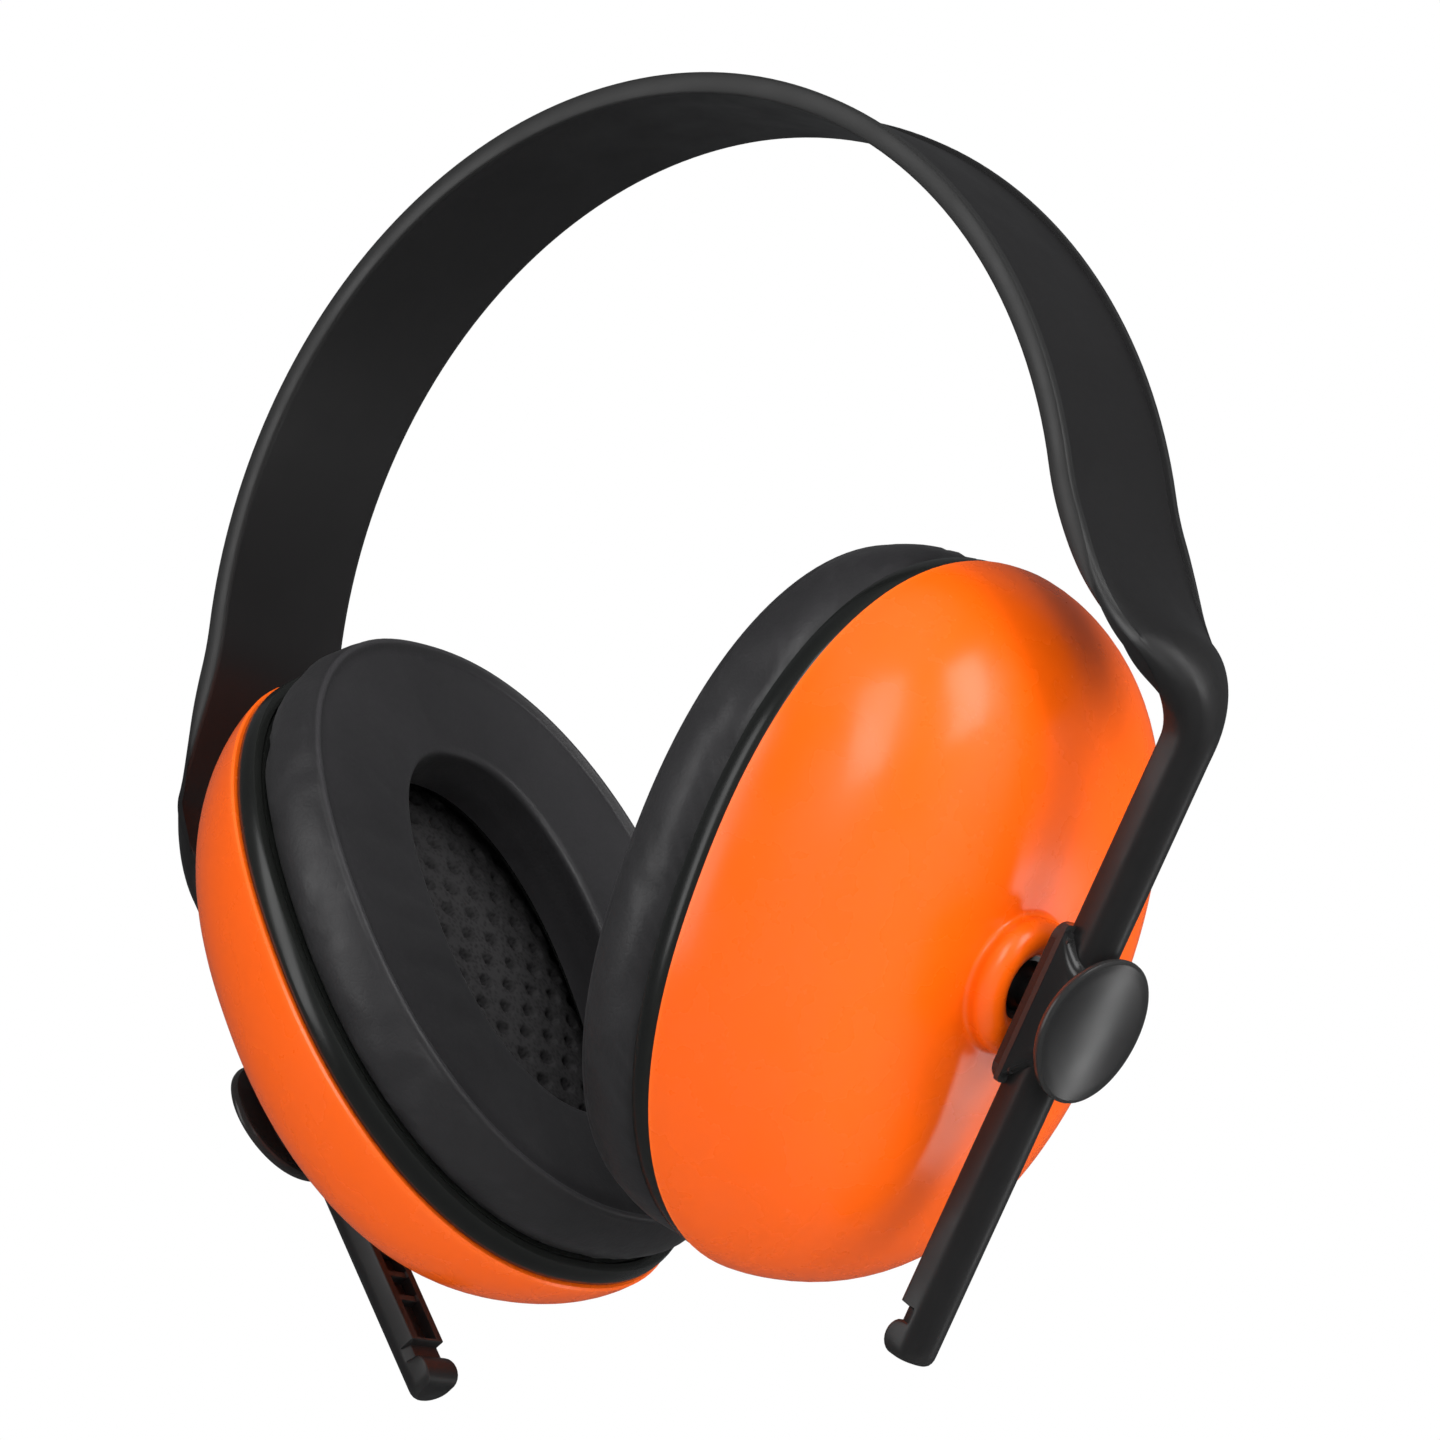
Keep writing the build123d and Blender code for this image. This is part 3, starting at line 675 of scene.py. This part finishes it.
def cushion_profile():
    """Round the cushion's section: (half length, half width, height, sewn down)."""
    face = -CUSHION_DEPTH
    back = -PLATE_DEPTH
    points = [(*BACK, back, True)]
    for share, drop in ((0.32, 0.35), (0.62, 1.1), (0.84, 2.2), (0.97, 3.5), (1.0, 4.8)):
        points.append((*between(BACK, BULGE, share), back - drop * MM, share < 0.5))
    for share, rise in ((0.06, 5.2), (0.26, 3.6), (0.50, 2.2), (0.72, 1.1)):
        points.append((*between(BULGE, CREASE, share), face + rise * MM, False))
    # the welt along the outer edge of the face, with a narrow valley behind it
    for share, rise in ((1.02, 0.75), (1.02, 0.25), (1.0, 0.0), (0.975, 0.15), (0.955, 0.75), (0.93, 1.0)):
        points.append((*between(OPENING, CREASE, share), face + rise * MM, True))
    for share in (0.88, 0.78, 0.67, 0.56, 0.45, 0.34, 0.24, 0.16):
        dip = 0.9 * MM + 0.6 * MM * (1 - share)
        points.append((*between(OPENING, CREASE, share), face + dip, False))
    # the lip of the ear opening, and the wall behind it
    for share, rise in ((0.09, 1.5), (0.05, 1.55), (0.02, 1.8), (0.004, 2.25), (0.0, 2.9)):
        points.append((*between(OPENING, CREASE, share), face + rise * MM, True))
    for rise in (4.6, 6.8, 9.0):
        points.append((*between(OPENING, CREASE, 0.01), face + rise * MM, False))
    points.append((*between(OPENING, CREASE, 0.05), back - 0.2 * MM, True))
    for share in (0.28, 0.52, 0.76):
        points.append((*between(OPENING, BACK, share), back, True))
    return points


def inflate(shape, pinned, most):
    """The skin swollen by its filling: Blender's cloth with pressure, seams held, motion capped."""
    verts, faces = shape
    obj = make_object("cushion_cloth", shape, cushion_skin)
    group = obj.vertex_groups.new(name="seams")
    group.add([int(i) for i in np.flatnonzero(pinned)], 1.0, "REPLACE")
    cloth = obj.modifiers.new("Cloth", "CLOTH")
    settings = cloth.settings
    settings.quality = 6
    settings.mass = 0.25
    settings.tension_stiffness = 12
    settings.compression_stiffness = 12
    settings.shear_stiffness = 6
    settings.bending_stiffness = 2.0
    settings.use_pressure = True
    settings.uniform_pressure_force = 4.0
    settings.shrink_min = -0.008
    settings.effector_weights.gravity = 0.0
    settings.vertex_group_mass = "seams"
    cloth.collision_settings.use_collision = False
    scene = bpy.context.scene
    cloth.point_cache.frame_start = 1
    cloth.point_cache.frame_end = CLOTH_FRAMES
    for step in range(1, CLOTH_FRAMES + 1):
        scene.frame_set(step)
    depsgraph = bpy.context.evaluated_depsgraph_get()
    swollen = obj.evaluated_get(depsgraph).to_mesh()
    result = np.zeros(len(verts) * 3)
    swollen.vertices.foreach_get("co", result)
    result = result.reshape(-1, 3)
    scene.frame_set(1)
    bpy.data.objects.remove(obj)
    move = result - verts
    length = np.linalg.norm(move, axis=1, keepdims=True)
    capped = move * (most * np.tanh(length / most) / np.maximum(length, 1e-9))
    return verts + capped, faces


def cushion_shape():
    """The cushion's skin round its foam, puffed up a little between its seams."""
    profile = cushion_profile()
    rings = []
    for half_length, half_width, height, _ in profile:
        rings.append(cup_points(oval_ring(half_length, half_width, height, CUSHION_POINTS)))
    verts, faces = loft(rings, closed=True)
    pinned = np.repeat([point[3] for point in profile], CUSHION_POINTS)
    return inflate((verts, faces), pinned, PUFF)


on_both_sides("ear_cushion", cushion_shape(), cushion_skin, "cup",
              ["cushion_cover", "cushion_foam"], 60)


# ---- dimpled ear pads -------------------------------------------------------------------------------
DIMPLE_PITCH_DOWN = 4.1 * MM
DIMPLE_PITCH_ACROSS = 5.2 * MM
DIMPLE_FLATNESS = 0.75
DIMPLE_DEPTH = 2.2 * MM
DIMPLE_FLOOR = 0.95 * MM
DIMPLE_WALL = 0.45 * MM
PAD_GRID = 0.46 * MM
PAD_SAG = 1.2 * MM


def dimple_depth(x, y):
    """Staggered rows of small oval pits."""
    row = round(x / DIMPLE_PITCH_DOWN)
    shift = DIMPLE_PITCH_ACROSS / 2 if row % 2 else 0.0
    column = round((y - shift) / DIMPLE_PITCH_ACROSS)
    along = (x - row * DIMPLE_PITCH_DOWN) / DIMPLE_FLATNESS
    away = math.hypot(along, y - shift - column * DIMPLE_PITCH_ACROSS)
    return DIMPLE_DEPTH * (1 - smoothstep((away - DIMPLE_FLOOR) / DIMPLE_WALL))


def ear_pad_shape():
    """A slab of foam with pits in the face towards the ear."""
    low, high = node_extent("right_ear_pad", cup_out, rim_centre)
    half_length = node_extent("right_ear_pad", cup_down, rim_centre)[1]
    half_width = node_extent("right_ear_pad", front, rim_centre)[1]
    step = PAD_GRID
    mesh = bmesh.new()
    grid = {}
    for i in range(-int(half_length / step), int(half_length / step) + 1):
        for j in range(-int(half_width / step), int(half_width / step) + 1):
            x = i * step
            y = j * step
            edge = math.hypot(x, y) / oval_radius(math.atan2(y, x), half_length, half_width)
            if edge <= 0.985:
                grid[i, j] = mesh.verts.new((x, y, low + PAD_SAG * edge**4 + dimple_depth(x, y)))
    for (i, j), corner in grid.items():
        others = [grid.get(key) for key in ((i + 1, j), (i + 1, j + 1), (i, j + 1))]
        if None not in others:
            mesh.faces.new([corner] + others)
    loose = [v for v in mesh.verts if not v.link_faces]
    bmesh.ops.delete(mesh, geom=loose, context="VERTS")
    border = [e for e in mesh.edges if e.is_boundary]
    grown = bmesh.ops.extrude_edge_only(mesh, edges=border)
    for item in grown["geom"]:
        if isinstance(item, bmesh.types.BMVert):
            item.co.z = high
    bmesh.ops.holes_fill(mesh, edges=[e for e in mesh.edges if e.is_boundary], sides=0)
    bmesh.ops.recalc_face_normals(mesh, faces=mesh.faces)
    mesh.verts.index_update()
    verts = cup_points([tuple(v.co) for v in mesh.verts])
    faces = [tuple(v.index for v in f.verts) for f in mesh.faces]
    mesh.free()
    if signed_volume(verts - verts.mean(axis=0), faces) < 0:
        faces = [face[::-1] for face in faces]
    return verts, faces


on_both_sides("ear_pad", ear_pad_shape(), pad_foam, "cup", ["ear_pad"], 80)


# ---- sliders ----------------------------------------------------------------------------------------
CORNER_POINTS = 6
FOOT_LENGTH = 11.65 * MM
FOOT_WIDTH = 5.5 * MM
FOOT_CORNER = 0.7 * MM
FOOT_THICKNESS = 0.8 * MM
FOOT_GAP = 0.06 * MM
NECK_TOP = -1.7 * MM
NECK_STEPS = 14
NECK_POWER = 2.1
NECK_LENGTHS = (10.7 * MM, 6.8 * MM)
NECK_WIDTHS = (5.4 * MM, 4.8 * MM)
NECK_CORNERS = (0.9 * MM, 2.9 * MM)
TUNNEL_GAP = 0.08 * MM
TUNNEL_LENGTH = 20 * MM
TUNNEL_DEPTH = 3 * MM
DISC_CURVE = 90 * MM
DISC_POINTS = 96


def rounded_ring(half_length, half_width, corner, height, per_corner):
    """A rectangle with round corners, in the arm's directions."""
    ring = []
    for quarter in range(4):
        sign_x = (1, -1, -1, 1)[quarter]
        sign_y = (1, 1, -1, -1)[quarter]
        for i in range(per_corner):
            angle = math.pi / 2 * (quarter + i / (per_corner - 1))
            x = sign_x * (half_length - corner) + corner * math.cos(angle)
            y = sign_y * (half_width - corner) + corner * math.sin(angle)
            ring.append((x, y, height))
    return ring


def saddle_shape():
    """The saddle's solid block: a long foot whose ends curve up into the neck under the disc."""
    foot = -ARM_HALF_THICKNESS - FOOT_GAP
    top = DISC_TOP + NECK_TOP
    lip = foot + FOOT_THICKNESS
    rings = [
        rounded_ring(FOOT_LENGTH, FOOT_WIDTH, FOOT_CORNER, height, CORNER_POINTS) for height in (foot, lip)
    ]
    for i in range(NECK_STEPS + 1):
        share = i / NECK_STEPS
        sweep = 1 - (1 - share) ** NECK_POWER
        half_length, half_width, corner = (
            low + (high - low) * sweep for low, high in (NECK_LENGTHS, NECK_WIDTHS, NECK_CORNERS)
        )
        height = lip + (top - lip) * share
        rings.append(rounded_ring(half_length, half_width, corner, height, CORNER_POINTS))
    return loft([arm_points(ring) for ring in rings], closed=False)


def tunnel_shape():
    """The arm's D section, a little larger, running right through the saddle."""
    half = ARM_HALF_WIDTH + TUNNEL_GAP
    spring = ARM_HALF_THICKNESS - ARM_HALF_WIDTH
    section = [(-half, -ARM_HALF_THICKNESS - TUNNEL_DEPTH)]
    for i in range(25):
        angle = math.pi - math.pi * i / 24
        section.append((half * math.cos(angle), spring + half * math.sin(angle)))
    section.append((half, -ARM_HALF_THICKNESS - TUNNEL_DEPTH))
    rings = [[(x, across, out) for across, out in section] for x in (-TUNNEL_LENGTH, TUNNEL_LENGTH)]
    return loft([arm_points(ring) for ring in rings], closed=False)


def disc_shape():
    """The round finger disc: its face falls away a little on both sides of the arm's line."""
    profile = (
        (1.5, -1.75), (5.2, -1.75), (9.3, -1.65), (10.1, -1.45), (10.45, -1.0), (10.55, -0.6), (10.5, -0.3),
        (10.3, -0.12), (9.9, -0.05), (8.5, -0.03), (6.5, -0.01), (4.0, 0.0), (1.5, 0.0),
    )
    widest = max(radius for radius, _ in profile)
    rings = []
    for radius, drop in profile:
        ring = circle_ring(radius / widest * DISC_RADIUS, DISC_TOP + drop * MM, DISC_POINTS)
        rings.append([(x, y, z - y * y / (2 * DISC_CURVE)) for x, y, z in ring])
    return loft([arm_points(ring) for ring in rings], closed=False)


def boolean_cut(shape, cutter_shape):
    """A shape with another taken out of it."""
    body = make_object("cut_body", shape, slider_plastic)
    cutter = make_object("cut_tool", cutter_shape, slider_plastic)
    modifier = body.modifiers.new("Cut", "BOOLEAN")
    modifier.operation = "DIFFERENCE"
    modifier.solver = "EXACT"
    modifier.object = cutter
    bpy.context.view_layer.update()
    mesh = body.evaluated_get(bpy.context.evaluated_depsgraph_get()).to_mesh()
    verts = np.array([tuple(v.co) for v in mesh.vertices])
    faces = [tuple(face.vertices) for face in mesh.polygons]
    bpy.data.objects.remove(body)
    bpy.data.objects.remove(cutter)
    return verts, faces


def slider_cap_shape():
    """The saddle with the arm's tunnel cut through it, and the disc on top."""
    return join_parts(boolean_cut(saddle_shape(), tunnel_shape()), disc_shape())


on_both_sides("slider_cap", slider_cap_shape(), slider_plastic, "slider",
              ["slider_cap"], 35)


# ---- CAD nodes that stay ----------------------------------------------------------------------------
KEPT = {
    "slider_base": slider_plastic,
    "ball_stud": pivot_plastic,
    "pivot_socket": pivot_plastic,
    "cushion_plate": rim_plastic,
    "cup_liner": pad_foam,
}
for side in ("right", "left"):
    for node, material in KEPT.items():
        obj = frame["nodes"][f"{side}_{node}"]
        obj.data.materials.clear()
        obj.data.materials.append(material)


# ---- stage, light and camera ------------------------------------------------------------------------
FLOOR_HALF = 3.0
FLOOR_HEIGHT = -160 * MM
FLOOR_FADE_START = 250 * MM
FLOOR_FADE_END = 800 * MM


def floor_material():
    """Pale near the object. Further out, what the camera sees turns as white as the surroundings, and
    a camera below the floor sees through it."""
    material, nodes, links, shader = new_material("floor")
    shader.inputs["Base Color"].default_value = (0.85, 0.85, 0.85, 1)
    shader.inputs["Roughness"].default_value = 0.8
    place = nodes.new("ShaderNodeTexCoord")
    distance = nodes.new("ShaderNodeVectorMath")
    distance.operation = "LENGTH"
    links.new(place.outputs["Object"], distance.inputs[0])
    fade = nodes.new("ShaderNodeMapRange")
    fade.interpolation_type = "SMOOTHSTEP"
    fade.inputs["From Min"].default_value = FLOOR_FADE_START
    fade.inputs["From Max"].default_value = FLOOR_FADE_END
    links.new(distance.outputs["Value"], fade.inputs["Value"])
    ray = nodes.new("ShaderNodeLightPath")
    seen = nodes.new("ShaderNodeMath")
    seen.operation = "MULTIPLY"
    links.new(fade.outputs["Result"], seen.inputs[0])
    links.new(ray.outputs["Is Camera Ray"], seen.inputs[1])
    white = nodes.new("ShaderNodeEmission")
    mix = nodes.new("ShaderNodeMixShader")
    links.new(seen.outputs[0], mix.inputs[0])
    links.new(shader.outputs["BSDF"], mix.inputs[1])
    links.new(white.outputs[0], mix.inputs[2])
    face = nodes.new("ShaderNodeNewGeometry")
    below = nodes.new("ShaderNodeMath")
    below.operation = "MULTIPLY"
    links.new(face.outputs["Backfacing"], below.inputs[0])
    links.new(ray.outputs["Is Camera Ray"], below.inputs[1])
    clear = nodes.new("ShaderNodeBsdfTransparent")
    see_through = nodes.new("ShaderNodeMixShader")
    links.new(below.outputs[0], see_through.inputs[0])
    links.new(mix.outputs[0], see_through.inputs[1])
    links.new(clear.outputs[0], see_through.inputs[2])
    links.new(see_through.outputs[0], nodes["Material Output"].inputs["Surface"])
    return material


def build_floor():
    """A pale floor. It lies below the camera, which looks slightly upwards at the object."""
    mesh = bpy.data.meshes.new("floor")
    signs = ((-1, -1), (1, -1), (1, 1), (-1, 1))
    corners = [(FLOOR_HALF * side, FLOOR_HALF * end, FLOOR_HEIGHT) for side, end in signs]
    mesh.from_pydata(corners, [], [(0, 1, 2, 3)])
    mesh.materials.append(floor_material())
    floor = bpy.data.objects.new("floor", mesh)
    bpy.context.scene.collection.objects.link(floor)
    floor.visible_glossy = False


def build_world():
    """White to the camera, even grey light on surfaces, and near-dark in reflections, so that black
    plastic stays black."""
    world = bpy.data.worlds.new("studio")
    bpy.context.scene.world = world
    world.use_nodes = True
    nodes = world.node_tree.nodes
    links = world.node_tree.links
    path = nodes.new("ShaderNodeLightPath")
    shader = nodes["Background"]
    shader.inputs["Color"].default_value = (0.9, 0.92, 0.95, 1)
    shader.inputs["Strength"].default_value = 0.11
    for ray, strength in (("Is Diffuse Ray", 0.32), ("Is Camera Ray", 1.0)):
        background = nodes.new("ShaderNodeBackground")
        background.inputs["Color"].default_value = (1, 1, 1, 1)
        background.inputs["Strength"].default_value = strength
        mix = nodes.new("ShaderNodeMixShader")
        links.new(path.outputs[ray], mix.inputs["Fac"])
        links.new(shader.outputs[0], mix.inputs[1])
        links.new(background.outputs["Background"], mix.inputs[2])
        shader = mix
    links.new(shader.outputs[0], nodes["World Output"].inputs["Surface"])


# the camera's pose: turned round the object, a little below it, looking slightly up
CAMERA_AZIMUTH = math.radians(39.01)
CAMERA_ELEVATION = math.radians(-12.16)
CAMERA_ROLL = math.radians(0.28)
CAMERA_DISTANCE = 773.76 * MM
CAMERA_TARGET = np.array([5.85, 4.73, 95.57]) * MM
CAMERA_LENS = 134.72
CAMERA_SENSOR = 36.0


def camera_axes():
    """The camera's right, up and backward directions."""
    cos_e = math.cos(CAMERA_ELEVATION)
    back = np.array([
        math.sin(CAMERA_AZIMUTH) * cos_e,
        -math.cos(CAMERA_AZIMUTH) * cos_e,
        math.sin(CAMERA_ELEVATION),
    ])
    level = np.array([math.cos(CAMERA_AZIMUTH), math.sin(CAMERA_AZIMUTH), 0.0])
    upright = np.cross(back, level)
    right = level * math.cos(CAMERA_ROLL) + upright * math.sin(CAMERA_ROLL)
    up = upright * math.cos(CAMERA_ROLL) - level * math.sin(CAMERA_ROLL)
    return right, up, back


def build_camera():
    """The camera at the pose above, looking along its own -Z."""
    right, up, back = camera_axes()
    place = CAMERA_TARGET + back * CAMERA_DISTANCE
    data = bpy.data.cameras.new("camera")
    data.sensor_width = CAMERA_SENSOR
    data.lens = CAMERA_LENS
    data.clip_start = 0.01
    camera = bpy.data.objects.new("camera", data)
    camera.matrix_world = Matrix((
        (right[0], up[0], back[0], place[0]),
        (right[1], up[1], back[1], place[1]),
        (right[2], up[2], back[2], place[2]),
        (0, 0, 0, 1),
    ))
    bpy.context.scene.collection.objects.link(camera)
    bpy.context.scene.camera = camera


def area_light(name, place, towards_light, long_axis, width, height, power, mirrored_in_gloss=True):
    """A rectangular light at a place, shining back along towards_light, with its height along long_axis."""
    data = bpy.data.lights.new(name, "AREA")
    data.shape = "RECTANGLE"
    data.size = width
    data.size_y = height
    data.energy = power
    light = bpy.data.objects.new(name, data)
    light.visible_glossy = mirrored_in_gloss
    z_axis = Vector(towards_light).normalized()
    x_axis = Vector(long_axis).cross(z_axis).normalized()
    y_axis = z_axis.cross(x_axis)
    light.matrix_world = Matrix((
        (x_axis[0], y_axis[0], z_axis[0], place[0]),
        (x_axis[1], y_axis[1], z_axis[1], place[1]),
        (x_axis[2], y_axis[2], z_axis[2], place[2]),
        (0, 0, 0, 1),
    ))
    bpy.context.scene.collection.objects.link(light)


def softbox(name, azimuth, elevation, distance, width, height, power, mirrored_in_gloss=True):
    """A light facing the object's middle, placed by its angles from the camera's line of sight."""
    right, up, back = camera_axes()
    turn = math.radians(azimuth)
    rise = math.radians(elevation)
    level = right * math.sin(turn) + back * math.cos(turn)
    offset = level * math.cos(rise) + up * math.sin(rise)
    place = CAMERA_TARGET + offset * distance
    area_light(name, place, offset, up, width, height, power, mirrored_in_gloss)


def disc_strip(distance, width, height, power):
    """A small strip mirrored in the right-hand finger disc, as a light band along the arm's line."""
    disc = pivot + arm_out * DISC_TOP
    view = CAMERA_TARGET + camera_axes()[2] * CAMERA_DISTANCE - disc
    view /= np.linalg.norm(view)
    bounce = arm_out * (2 * (arm_out @ view)) - view
    area_light("disc_strip", disc + bounce * distance, bounce, arm_down, width, height, power)


def build_lights():
    """Two tall boxes that show as highlights, and wide fills that only brighten."""
    softbox("key_left", 5, 34, 1.3, 0.42, 0.75, 4.5)
    softbox("key_right", 56, 30, 1.3, 0.38, 0.75, 4.5)
    softbox("edge_left", -70, 20, 1.3, 0.5, 1.0, 3.8)
    softbox("front_fill", -5, 5, 1.7, 1.6, 1.6, 12, mirrored_in_gloss=False)
    softbox("right_fill", 75, 15, 1.5, 1.0, 1.2, 16, mirrored_in_gloss=False)
    softbox("top_fill", 0, 75, 1.4, 1.2, 1.2, 11, mirrored_in_gloss=False)
    disc_strip(0.25, 0.018, 0.12, 0.042)


build_floor()
build_world()
build_lights()
build_camera()
bpy.context.scene.view_settings.view_transform = "Standard"
